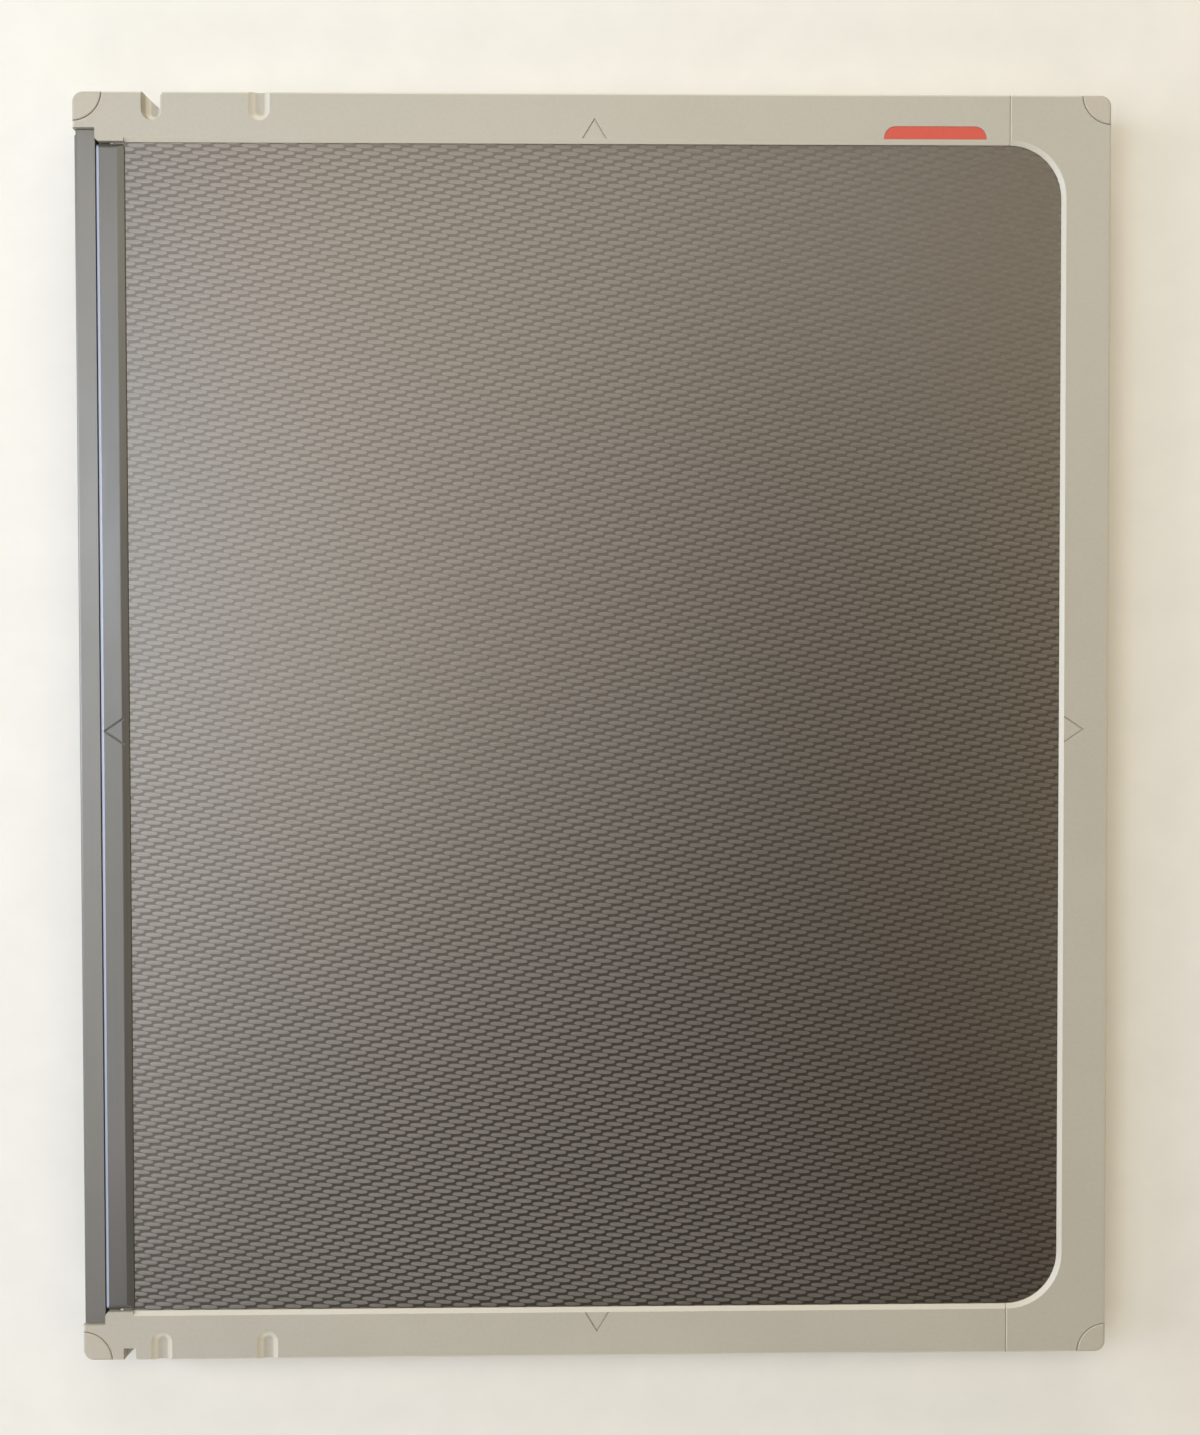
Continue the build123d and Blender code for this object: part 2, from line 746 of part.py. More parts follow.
# ---- Latches ----
spring_y = lip_end - spring_from_end - spring_length / 2
spring_floor = slide_z - channel_half_height - spring_rise
spring_half_width = slide_width / 2


def spring_pocket():
    """The hollow under one slide for its detent spring."""
    return block(slide_x - channel_half_width, slide_x + channel_half_width,
                 spring_y - spring_length / 2 - slide_clearance,
                 spring_y + spring_length / 2 + slide_clearance,
                 spring_floor, slide_z)


def detent_spring():
    """A bowed leaf spring whose crown presses up at the slide."""
    crown = spring_rise + slide_clearance - spring_thickness - spring_clearance
    half = spring_length / 2
    lower = ThreePointArc((-half, 0), (0, crown), (half, 0))
    upper = ThreePointArc((half, spring_thickness), (0, crown + spring_thickness),
                          (-half, spring_thickness))
    sides = [Line((half, 0), (half, spring_thickness)), Line((-half, spring_thickness), (-half, 0))]
    outline = make_face([lower, sides[0], upper, sides[1]])
    plane = Plane(origin=(slide_x - spring_half_width, spring_y, spring_floor),
                  x_dir=(0, 1, 0), z_dir=(1, 0, 0))
    return extrude(plane * outline, amount=2 * spring_half_width)


def latch_slide():
    """The sliding bolt at the top end, drawn back."""
    body = block(slide_x - slide_width / 2, slide_x + slide_width / 2,
                 lip_end - slide_length, slide_tip,
                 slide_z - slide_height / 2, slide_z + slide_height / 2)
    tip = body.faces().sort_by(Axis.Y)[-1].edges()
    return chamfer(tip, slide_tip_chamfer)


def latch_button():
    """The grooved thumb button on the slide's outer face."""
    body = block(button_outer_x, button_inner_x, button_start, button_start + button_length,
                 slide_z - button_height / 2, slide_z + button_height / 2)
    step = button_length / (button_rib_count + 1)
    for index in range(1, button_rib_count + 1):
        y = button_start + index * step
        body -= Pos(button_outer_x, y, slide_z) * Rot(0, 0, 45) * Box(
            button_groove, button_groove, button_height)
    return body


# ---- Seals ----
def latch_seal():
    """Felt on the back plate under the edge bar."""
    middle = (edge_bar_left + cavity_left) / 2
    return block(middle - seal_width / 2, middle + seal_width / 2, -cavity_end, cavity_end,
                 back_plate, parting_z - seal_clearance)


def hinge_seal():
    """Felt on the back leaf, under the front leaf's inner edge."""
    x0 = leaf_inner_x + hinge_seal_offset
    span_end = hinge_half - knuckle_gap
    return block(x0, x0 + hinge_seal_width, -span_end, span_end,
                 back_plate + leaf_thickness, parting_z - leaf_thickness - seal_clearance)


# ---- Write every node ----
board_width = cavity_right - cavity_left - 2 * board_trim
board_length = 2 * (cavity_end - board_trim)
end_frame, top_rail, bottom_rail = cut_frame(frame_ring())
blocker = id_blocker()
splice = splice_plate(0)
bracket = corner_bracket(0)
for x, y in splice_screw_places:
    splice -= screw_hole(x, y, parting_z, *small_screw)
for x, y in bracket_screw_places:
    bracket -= screw_hole(x, y, parting_z, *small_screw)
splice_screws = [screw(x, y, parting_z, *small_screw) for x, y in splice_screw_places]
bracket_screws = [screw(x, y, parting_z, *small_screw) for x, y in bracket_screw_places]
strike_plate = strike(0) - bolt_pocket()
slide = latch_slide()
button = latch_button()
spring = detent_spring()

nodes = {
    "back_cover": back_cover(),
    "back_label_plate": label_outline(0, label_pocket - label_thickness, label_pocket),
    "core_board": sheet(stack_x, board_width, board_length, screen_corner_radius,
                        back_plate, board_top),
    "lead_foil": sheet(stack_x, board_width, board_length, screen_corner_radius,
                       board_top, foil_top),
    "foam_pad": sheet(stack_x, screen_width, screen_length, screen_corner_radius,
                      foil_top, pad_top),
    "back_screen": sheet(stack_x, screen_width, screen_length, screen_corner_radius,
                         pad_top, film_bottom),
    "film_sheet": sheet(stack_x, film_width - film_trim, film_length - film_trim,
                        film_corner_radius, film_bottom, film_top),
    "lip_bar": lip_bar(),
    "lip_bar_screws": group(*[screw(x, y, lip_screw_sink, *lip_screw)
                              for x, y in lip_screw_places()]),
    "latch_seal": latch_seal(),
    "hinge_seal": hinge_seal(),
    "detent_springs": group(spring, mirrored(spring)),
    "hinge_leaf_back": hinge_leaf_back(),
    "hinge_rivets_back": group(*[back_rivet(x, y) for x, y in back_rivet_places()]),
    "hinge_pin": hinge_pin(),
    "hinge_leaf_front": hinge_leaf_front(),
    "hinge_rivets_front": group(*[front_rivet(x, y) for x, y in front_rivet_places()]),
    "end_frame": end_frame,
    "top_rail": top_rail,
    "bottom_rail": bottom_rail,
    "splice_plates": group(splice, mirrored(splice)),
    "splice_screws": group(*splice_screws, *[mirrored(s) for s in splice_screws]),
    "corner_brackets": group(bracket, mirrored(bracket)),
    "bracket_screws": group(*bracket_screws, *[mirrored(s) for s in bracket_screws]),
    "panel_outer_skin": panel_layer(core_top, panel_top),
    "panel_core": panel_layer(core_bottom, core_top),
    "panel_inner_skin": panel_layer(panel_bottom, core_bottom),
    "edge_bar": edge_bar(),
    "red_marker": marker(0, thickness - marker_pocket, thickness - marker_pocket + marker_thickness),
    "front_screen": front_screen(),
    "id_blocker": blocker,
    "latch_strikes": group(strike_plate, mirrored(strike_plate)),
    "latch_slide_top": slide,
    "latch_button_top": button,
    "latch_slide_bottom": mirrored(slide),
    "latch_button_bottom": mirrored(button),
}
for side_x, across in ((-1, "latch"), (1, "hinge")):
    for side_y, along in ((1, "top"), (-1, "bottom")):
        nodes[f"corner_bumper_{along}_{across}_side"] = bumper(side_x, side_y)

for name, shape in nodes.items():
    export_step(shape, f"parts/{name}.step")
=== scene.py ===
from math import pi, radians

import bpy
import numpy as np
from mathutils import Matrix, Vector


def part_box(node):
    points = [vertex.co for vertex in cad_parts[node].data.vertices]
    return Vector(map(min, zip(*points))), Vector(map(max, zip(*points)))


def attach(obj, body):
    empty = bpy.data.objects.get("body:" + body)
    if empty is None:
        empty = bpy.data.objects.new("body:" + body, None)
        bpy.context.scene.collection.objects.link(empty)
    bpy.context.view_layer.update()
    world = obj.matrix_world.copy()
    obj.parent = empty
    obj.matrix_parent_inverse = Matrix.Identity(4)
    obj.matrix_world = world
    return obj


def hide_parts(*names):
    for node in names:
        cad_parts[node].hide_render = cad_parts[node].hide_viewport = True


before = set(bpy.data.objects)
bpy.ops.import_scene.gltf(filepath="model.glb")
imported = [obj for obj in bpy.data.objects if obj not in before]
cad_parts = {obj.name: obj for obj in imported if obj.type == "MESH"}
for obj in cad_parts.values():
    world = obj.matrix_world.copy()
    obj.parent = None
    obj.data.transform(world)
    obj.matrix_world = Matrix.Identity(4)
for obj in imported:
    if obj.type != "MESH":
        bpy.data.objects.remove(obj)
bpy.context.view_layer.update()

bl_info = {
    "name": "X-ray film cassette",
    "version": (1, 0, 0),
    "blender": (4, 5, 0),
    "location": "3D View > Sidebar > Cassette",
    "description": "Finishes and soft parts of a film cassette, built round its packed parts",
    "category": "Object",
}

MM = 0.001                     # one millimetre in scene units


def linear(colour):
    """An sRGB hex colour as linear RGBA."""
    values = np.array([int(colour[i:i + 2], 16) for i in (1, 3, 5)]) / 255
    low = values / 12.92
    high = ((values + 0.055) / 1.055) ** 2.4
    return (*np.where(values <= 0.04045, low, high).tolist(), 1.0)


# ---------------------------------------------------------------- sizes and colours
def length(name, description, millimetres):
    """A length that a user may change."""
    return bpy.props.FloatProperty(name=name, description=description, unit="LENGTH",
                                   default=millimetres * MM, precision=5, min=0.0)


def number(name, description, value):
    """A plain number that a user may change."""
    return bpy.props.FloatProperty(name=name, description=description, default=value,
                                   precision=3)


def colour(name, description, value):
    """A colour that a user may change, given as an sRGB hex value."""
    return bpy.props.FloatVectorProperty(name=name, description=description, subtype="COLOR",
                                         size=4, default=linear(value), min=0.0, max=1.0)


class CassetteWeave(bpy.types.PropertyGroup):
    """The satin weave of the panel's outer skin."""
    pitch: length("Tow pitch", "Distance between neighbouring tows", 0.907)
    relief: length("Relief", "Height of a float over the hollows round it", 0.03)
    harness: number("Harness", "Tows from one crossing to the next along a tow", 8)
    step: number("Step", "Tows that the crossing moves on by from one tow to the next", 3)
    float_length: number("Float length", "Half of a float's length, in tows", 2.34)
    float_width: number("Float width", "Half of a float's width, in tows", 0.567)
    lean: number("Lean", "How far a float leans over its own length, in tows per tow", 0.046)
    float_colour: colour("Float", "Carbon floats under the resin", "#8a857e")
    # The hollows' darker colour is partly the weave's pattern and partly painted shade.
    hollow_shade_colour: colour("Hollow", "Hollows where one tow dips under another", "#6a645c")
    skin_corner: length("Skin corner", "Radius of the skin's two hinge-side corners", 17.2)


class CassettePlastics(bpy.types.PropertyGroup):
    """The moulded plastics."""
    frame_colour: colour("Frame", "Mouldings of the frame", "#b4ae9e")
    bumper_colour: colour("Bumpers", "Corner bumpers", "#b7af9e")
    back_colour: colour("Back cover", "Back cover", "#aca697")
    marker_colour: colour("Marker", "Marker inlay", "#cc4d3a")
    button_colour: colour("Buttons", "Thumb buttons", "#2b2b2c")
    label_colour: colour("Label", "Bare label plate", "#d6d3ca")
    edge_radius: length("Edge radius", "Softness of the moulded edges", 0.16)


class CassetteMetals(bpy.types.PropertyGroup):
    """The metal parts."""
    lip_colour: colour("Lip bar", "Fixed outer bar", "#7d7a72")
    bar_colour: colour("Edge bar", "Bar on the panel's edge", "#6d6b65")
    # A painted highlight: the pale colour painted on the edge bar's bevel towards -X.
    bevel_highlight_colour: colour("Milled bevel", "Bare metal of the edge bar's bevel", "#b2b6c3")
    zinc_colour: colour("Zinc plate", "Plated hinge and fasteners", "#c3c6c6")
    steel_colour: colour("Bare steel", "Ground and sprung steel", "#a6a8aa")
    lead_colour: colour("Lead", "Rolled lead", "#70747a")


class CassetteLayers(bpy.types.PropertyGroup):
    """What lies between the two halves."""
    screen_colour: colour("Screens", "Phosphor coat of both screens", "#ebeae3")
    film_colour: colour("Film", "Gelatine emulsion on blue-tinted base", "#8d99ad")
    pad_colour: colour("Pad", "Foam of the pressure pad", "#47474a")
    felt_colour: colour("Felt", "Light seals", "#1a1a1b")
    board_colour: colour("Board", "Fibre board", "#6d5a44")
    core_colour: colour("Core", "Rigid foam between the panel's skins", "#e2dccb")
    laminate_colour: colour("Laminate", "The panel's inner skin", "#242425")
    pad_bow: length("Pad bow", "How far the foam pad's cut sides bow out", 0.9)
    pad_corner: length("Pad corner", "Radius of the foam pad's corners", 3.0)


class CassetteStage(bpy.types.PropertyGroup):
    """The camera, the table and the lamps."""
    lens: number("Lens", "Focal length in millimetres", 31.008)
    camera_place: bpy.props.FloatVectorProperty(
        name="Camera place", description="Where the camera stands", subtype="TRANSLATION",
        default=(-0.00304, 0.0090, 0.33301), precision=5)
    camera_turn: bpy.props.FloatVectorProperty(
        name="Camera turn", description="The camera's turn about X, Y and Z", subtype="EULER",
        default=(radians(-1.0227), radians(-0.7462), radians(-0.1131)))
    table_colour: colour("Table", "Table top", "#e8e4d9")
    world_level: number("World level", "Strength of the even light from all round", 0.03)
    lamp_level: number("Lamp level", "Factor on every lamp", 1.0)


# Soft boxes: name, place and sides in metres, power in watts, colour.
LAMPS = [
    ("window", (-0.59, 0.25, 0.90), (0.20, 0.30), 1.55, "#d5e4ff"),
    ("window_foot", (-0.59, -0.40, 0.90), (0.20, 0.40), 1.17, "#fefcff"),
    ("latch_side_top", (-0.35, 0.45, 0.90), (0.28, 0.30), 1.05, "#fffbf6"),
    ("latch_side_middle", (-0.35, 0.00, 0.90), (0.28, 0.40), 1.17, "#fffffb"),
    ("overhead_top", (-0.05, 0.50, 0.90), (0.30, 0.30), 0.66, "#fff9f2"),
    ("overhead_middle", (-0.05, 0.10, 0.90), (0.30, 0.40), 0.42, "#fff9f8"),
    ("hinge_side_top", (0.25, 0.50, 0.90), (0.30, 0.30), 0.60, "#fff9f1"),
    ("hinge_side_far", (0.60, 0.50, 0.90), (0.30, 0.60), 1.30, "#fff5e0"),
    ("hinge_side_foot", (0.60, -0.30, 0.90), (0.30, 0.60), 0.39, "#ffe7d4"),
    ("latch_side_sky", (-1.00, 0.05, 0.85), (0.40, 0.70), 2.6, "#a4c6ff"),
    ("latch_side_low", (-1.20, 0.10, 0.45), (0.60, 0.70), 9.0, "#f2f7ff"),
    ("hinge_side_low", (1.00, 0.00, 0.80), (0.60, 0.60), 2.3, "#ffe6a8"),
    ("top_low", (0.00, 1.20, 0.45), (0.70, 0.70), 6.0, "#fffcf1"),
    ("foot_low", (0.00, -1.20, 0.45), (0.70, 0.70), 4.5, "#fffcf6"),
]


# ---------------------------------------------------------------- shared makers
def add(tree, kind, *values, out=0, **others):
    """Adds one shader node and returns one of its outputs, if it has any. Plain values fill its
    inputs in order; others whose names start with a capital are inputs too, and the rest are
    settings. An input that is given a socket is linked to it."""
    node = tree.nodes.new("ShaderNode" + kind)
    inputs = list(enumerate(values))
    for name, value in others.items():
        if name[0].isupper():
            inputs.append((name, value))
        else:
            setattr(node, name, value)
    for key, value in inputs:
        socket = node.inputs[key] if isinstance(key, int) else named(node.inputs, key)
        if isinstance(value, bpy.types.NodeSocket):
            tree.links.new(value, socket)
        else:
            socket.default_value = value
    if node.outputs:
        return node.outputs[out] if isinstance(out, int) else named(node.outputs, out)


def named(sockets, name):
    """The socket with an identifier, or with a name whose spaces are written as underscores."""
    return next(s for s in sockets if name in (s.identifier, s.name.replace(" ", "_")))


def new_material(name):
    """An empty material, its node tree and its Object coordinates."""
    made = bpy.data.materials.new(name)
    made.use_nodes = True
    made.node_tree.nodes.clear()
    return made, made.node_tree, add(made.node_tree, "TexCoord", out="Object")


def grains(tree, place, size, detail=3.0, roughness=0.5):
    """A pattern of soft grains that measure size = (x, y, z) in millimetres."""
    scaled = add(tree, "Mapping", Vector=place, Scale=tuple(1 / (s * MM) for s in size))
    return add(tree, "TexNoise", Vector=scaled, Scale=1.0, Detail=detail, Roughness=roughness)


def times(tint, factor):
    """A linear colour made lighter or darker."""
    return (*[min(1.0, c * factor) for c in tint[:3]], 1.0)


def worn_and_highlit_edges(tree, radius):
    """The normal softened over a radius, and a mask that is 1 along edges, where it turns.
    Callers paint edges paler by the mask: partly wear and partly a painted highlight.
    """
    soft = add(tree, "Bevel", Radius=radius, samples=6)
    straight = add(tree, "NewGeometry", out="Normal")
    along = add(tree, "VectorMath", soft, straight, operation="DOT_PRODUCT", out="Value")
    mask = add(tree, "MapRange", Value=along, From_Min=0.995, From_Max=0.80, To_Min=0.0,
               To_Max=1.0)
    return soft, mask


def dress(names, made):
    """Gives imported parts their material."""
    for name in names:
        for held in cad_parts[name].material_slots:
            held.material = made


def new_piece(name, vertices, faces, made, body, replaced, smooth=True):
    """A finished piece: its mesh and material, its body and the parts it replaces."""
    mesh = bpy.data.meshes.new(name)
    mesh.from_pydata(vertices, [], faces)
    mesh.polygons.foreach_set("use_smooth", np.full(len(mesh.polygons), smooth))
    mesh.update()
    mesh.materials.append(made)
    piece = bpy.data.objects.new(name, mesh)
    bpy.context.scene.collection.objects.link(piece)
    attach(piece, body)
    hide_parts(*replaced)
    return piece


# ---------------------------------------------------------------- plastics
# The frame's chamfers are picked out by their normals and painted paler: a painted highlight.
CHAMFER_RISE = 0.8             # about the Z of the frame's chamfers' normals
CHAMFER_HIGHLIGHT_BAND = (0.12, 0.17)    # how far from it a face's normal lies to take the painted highlight, fully and at all


def moulded_plastic(name, tint, roughness, grain, depth, edge, chamfer_highlight=1.0):
    """Injection-moulded ABS or polycarbonate with a spark-eroded face: the eye sees an even,
    faintly cloudy matt colour, a very fine grain, and paler, smoother edges: paler partly from
    wear and partly as a painted highlight. Grain and depth are the size and height of the eroded
    grain in millimetres, and are drawn about twice as coarse as real, so that they show. Edge is
    the softness of the edges. Chamfer_highlight is how many times as pale as the faces the
    chamfers are painted: a painted highlight for the low light that falls on them."""
    made, tree, place = new_material(name)
    cloud = grains(tree, place, (24.0, 24.0, 24.0), 4.0, 0.55)
    speck = grains(tree, place, (0.9, 0.9, 0.9), 2.0)
    tone = add(tree, "Math", cloud, speck, operation="ADD")
    shift = add(tree, "MapRange", Value=tone, From_Min=0.75, From_Max=1.25, To_Min=0.0,
                To_Max=1.0)
    mottled = add(tree, "Mix", data_type="RGBA", Factor_Float=shift, A_Color=times(tint, 0.97),
                  B_Color=times(tint, 1.03), out="Result_Color")
    soft, edge_wear_and_highlight = worn_and_highlit_edges(tree, edge)
    # Edges are painted paler by the mask: partly wear, partly a painted highlight.
    some = add(tree, "Math", edge_wear_and_highlight, 0.35, operation="MULTIPLY")
    worn_and_highlit = add(tree, "Mix", data_type="RGBA", Factor_Float=some, A_Color=mottled,
               B_Color=times(tint, 1.3), out="Result_Color")
    # Faces sloped like the frame's chamfers are painted paler: a painted highlight.
    if chamfer_highlight > 1.0:
        rise = add(tree, "SeparateXYZ", add(tree, "TexCoord", out="Normal"), out="Z")
        off = add(tree, "Math", add(tree, "Math", rise, CHAMFER_RISE, operation="SUBTRACT"),
                  operation="ABSOLUTE")
        chamfer_highlight_mask = add(tree, "MapRange", Value=off, From_Min=CHAMFER_HIGHLIGHT_BAND[1],
                     From_Max=CHAMFER_HIGHLIGHT_BAND[0], To_Min=0.0, To_Max=1.0)
        worn_and_highlit = add(tree, "Mix", data_type="RGBA", Factor_Float=chamfer_highlight_mask, A_Color=worn_and_highlit,
                   B_Color=times(tint, chamfer_highlight), out="Result_Color")
    dull = add(tree, "MapRange", Value=cloud, From_Min=0.3, From_Max=0.7,
               To_Min=roughness - 0.03, To_Max=roughness + 0.05)
    gloss = add(tree, "Math", dull, add(tree, "Math", edge_wear_and_highlight, 0.08, operation="MULTIPLY"),
                operation="SUBTRACT")
    eroded = grains(tree, place, (grain, grain, grain), 2.0)
    normal = add(tree, "Bump", Height=eroded, Strength=0.35, Distance=depth * MM, Normal=soft)
    shader = add(tree, "BsdfPrincipled", Base_Color=worn_and_highlit, Roughness=gloss, Normal=normal,
                 IOR=1.53)
    add(tree, "OutputMaterial", Surface=shader)
    return made


class CassetteFrameMouldings(bpy.types.Operator):
    """Finish the frame, its bumpers, its marker, the back cover and the bare label plate"""
    bl_idname = "cassette.frame_mouldings"
    bl_label = "Frame mouldings"

    def execute(self, context):
        plastics = context.scene.cassette_plastics
        edge = plastics.edge_radius
        dress(["top_rail", "bottom_rail", "end_frame"],
              moulded_plastic("frame_abs", plastics.frame_colour, roughness=0.40, grain=0.35,
                              depth=0.05, edge=edge, chamfer_highlight=1.35))
        dress([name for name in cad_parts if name.startswith("corner_bumper")],
              moulded_plastic("bumper_abs", plastics.bumper_colour, roughness=0.40, grain=0.5,
                              depth=0.03, edge=edge))
        dress(["back_cover"],
              moulded_plastic("back_cover_abs", plastics.back_colour, roughness=0.55, grain=0.7,
                              depth=0.09, edge=edge))
        dress(["back_label_plate"],
              moulded_plastic("label_polycarbonate", plastics.label_colour, roughness=0.38,
                              grain=0.3, depth=0.01, edge=edge / 2))
        dress(["red_marker"],
              moulded_plastic("marker_abs", plastics.marker_colour, roughness=0.42, grain=0.4,
                              depth=0.03, edge=edge / 2))
        return {"FINISHED"}


# ---------------------------------------------------------------- metals
def worked_metal(name, tint, metallic, roughness, lines, depth, edge, bevel_highlight=None):
    """Metal that keeps the lines of its drawing, extrusion or grinding, sized in millimetres:
    the eye sees a satin sheen, streaks along the work, and brighter edges, brighter partly from
    wear and partly as a painted highlight. Anodising and plating cover the bare metal, so they
    are given less than full metallic. Lines is the size of the streaks along X, Y and Z, and
    depth their height, in millimetres; edge is the softness of the edges. Bevel_highlight is a
    pale colour painted on the faces towards -X, with little metallic: a painted highlight."""
    made, tree, place = new_material(name)
    streak = grains(tree, place, lines, 3.0, 0.6)
    cloud = grains(tree, place, (9.0, 30.0, 9.0), 3.0)
    streaked = add(tree, "Mix", data_type="RGBA", Factor_Float=streak, A_Color=times(tint, 0.9),
                   B_Color=times(tint, 1.1), out="Result_Color")
    soft, edge_wear_and_highlight = worn_and_highlit_edges(tree, edge)
    # Edges are painted paler by the mask: partly wear, partly a painted highlight.
    some = add(tree, "Math", edge_wear_and_highlight, 0.5, operation="MULTIPLY")
    worn_and_highlit = add(tree, "Mix", data_type="RGBA", Factor_Float=some, A_Color=streaked,
               B_Color=times(tint, 1.7), out="Result_Color")
    # Faces towards -X are painted pale and given little metallic: a painted highlight.
    if bevel_highlight:
        sideways = add(tree, "SeparateXYZ", add(tree, "TexCoord", out="Normal"), out="X")
        bare = add(tree, "MapRange", Value=sideways, From_Min=-0.4, From_Max=-0.6, To_Min=0.0,
                   To_Max=1.0)
        worn_and_highlit = add(tree, "Mix", data_type="RGBA", Factor_Float=bare, A_Color=worn_and_highlit,
                   B_Color=bevel_highlight, out="Result_Color")
        metallic = add(tree, "MapRange", Value=bare, From_Min=0.0, From_Max=1.0,
                       To_Min=metallic, To_Max=0.2)
    both = add(tree, "Math", streak, cloud, operation="ADD")
    dull = add(tree, "MapRange", Value=both, From_Min=0.7, From_Max=1.3, To_Min=roughness - 0.05,
               To_Max=roughness + 0.06)
    normal = add(tree, "Bump", Height=streak, Strength=0.3, Distance=depth * MM, Normal=soft)
    shader = add(tree, "BsdfPrincipled", Base_Color=worn_and_highlit, Roughness=dull, Normal=normal,
                 Metallic=metallic)
    add(tree, "OutputMaterial", Surface=shader)
    return made


def rolled_lead(tint):
    """Rolled lead sheet: a soft, dull, blue-grey metal, cloudy where it has tarnished."""
    made, tree, place = new_material("rolled_lead")
    cloud = grains(tree, place, (7.0, 7.0, 7.0), 5.0, 0.6)
    tarnished = add(tree, "Mix", data_type="RGBA", Factor_Float=cloud, A_Color=times(tint, 0.7),
                    B_Color=times(tint, 1.25), out="Result_Color")
    dull = add(tree, "MapRange", Value=cloud, From_Min=0.3, From_Max=0.7, To_Min=0.62,
               To_Max=0.45)
    normal = add(tree, "Bump", Height=cloud, Strength=0.4, Distance=0.05 * MM)
    shader = add(tree, "BsdfPrincipled", Base_Color=tarnished, Roughness=dull, Normal=normal,
                 Metallic=0.9)
    add(tree, "OutputMaterial", Surface=shader)
    return made


class CassetteBars(bpy.types.Operator):
    """Finish the lip bar and the edge bar: dyed, satin anodised aluminium extrusions, with a
    painted highlight on the edge bar's bevel
    """
    bl_idname = "cassette.bars"
    bl_label = "Bars"

    def execute(self, context):
        metals = context.scene.cassette_metals
        extruded = (0.25, 60.0, 0.25)
        dress(["lip_bar"],
              worked_metal("lip_bar_anodised_aluminium", metals.lip_colour, metallic=0.5,
                           roughness=0.42, lines=extruded, depth=0.02, edge=0.15 * MM))
        # The edge bar's wide edge radius and pale bevel colour paint the bright line along its
        # bevel: a painted highlight.
        dress(["edge_bar"],
              worked_metal("edge_bar_anodised_aluminium", metals.bar_colour, metallic=0.5,
                           roughness=0.36, lines=extruded, depth=0.02, edge=0.45 * MM,
                           bevel_highlight=metals.bevel_highlight_colour))
        return {"FINISHED"}


class CassetteLatches(bpy.types.Operator):
    """Finish both latches: ground steel slides, moulded buttons, strikes and springs"""
    bl_idname = "cassette.latches"
    bl_label = "Latches"

    def execute(self, context):
        metals = context.scene.cassette_metals
        plastics = context.scene.cassette_plastics
        dress(["latch_slide_top", "latch_slide_bottom", "latch_strikes"],
              worked_metal("ground_steel", metals.steel_colour, metallic=1.0, roughness=0.30,
                           lines=(0.1, 6.0, 0.1), depth=0.01, edge=0.08 * MM))
        dress(["detent_springs"],
              worked_metal("spring_steel", metals.steel_colour, metallic=1.0, roughness=0.34,
                           lines=(2.0, 0.15, 0.15), depth=0.01, edge=0.05 * MM))
        dress(["latch_button_top", "latch_button_bottom"],
              moulded_plastic("button_acetal", plastics.button_colour, roughness=0.42,
                              grain=0.3, depth=0.03, edge=plastics.edge_radius))
        return {"FINISHED"}


class CassetteHingeAndFasteners(bpy.types.Operator):
    """Finish the piano hinge, the screws, the rivets and the joining plates: zinc on steel"""
    bl_idname = "cassette.hinge_and_fasteners"
    bl_label = "Hinge and fasteners"

    def execute(self, context):
        zinc = context.scene.cassette_metals.zinc_colour
        dress(["hinge_leaf_back", "hinge_leaf_front", "hinge_pin", "splice_plates",
               "corner_brackets"],
              worked_metal("zinc_plated_rolled_steel", zinc, metallic=0.95, roughness=0.33,
                           lines=(0.3, 9.0, 0.3), depth=0.01, edge=0.06 * MM))
        dress(["lip_bar_screws", "splice_screws", "bracket_screws", "hinge_rivets_back",
               "hinge_rivets_front"],
              worked_metal("zinc_plated_turned_steel", zinc, metallic=0.95, roughness=0.28,
                           lines=(0.5, 0.5, 0.2), depth=0.01, edge=0.05 * MM))
        return {"FINISHED"}


# ---------------------------------------------------------------- the woven panel
SAMPLES_ACROSS = 4             # mesh rows to one tow
SKIN_STRIPS = 4                # strips of the skin's mesh, to keep each piece small
END_POWER = 3.0                # how blunt a float's ends are
SIDE_POWER = 2.4               # how flat a float is from side to side
HOLLOW_REACH = 1.4             # reach at which the mesh is down at the hollows' level


def float_reach(weave, along, across, row):
    """How far places, counted in tows, lie from the middle of a row's nearest float: 0 there
    and 1 on its outline. The outline is a superellipse whose middle line leans a little; the
    floats repeat every harness tows along a row and move on by step from row to row."""
    half = weave.harness / 2
    beside = np.mod(along - weave.step * row + half, weave.harness) - half
    off = across - row + weave.lean * beside
    return (np.abs(beside / weave.float_length) ** END_POWER
            + np.abs(off / weave.float_width) ** SIDE_POWER)


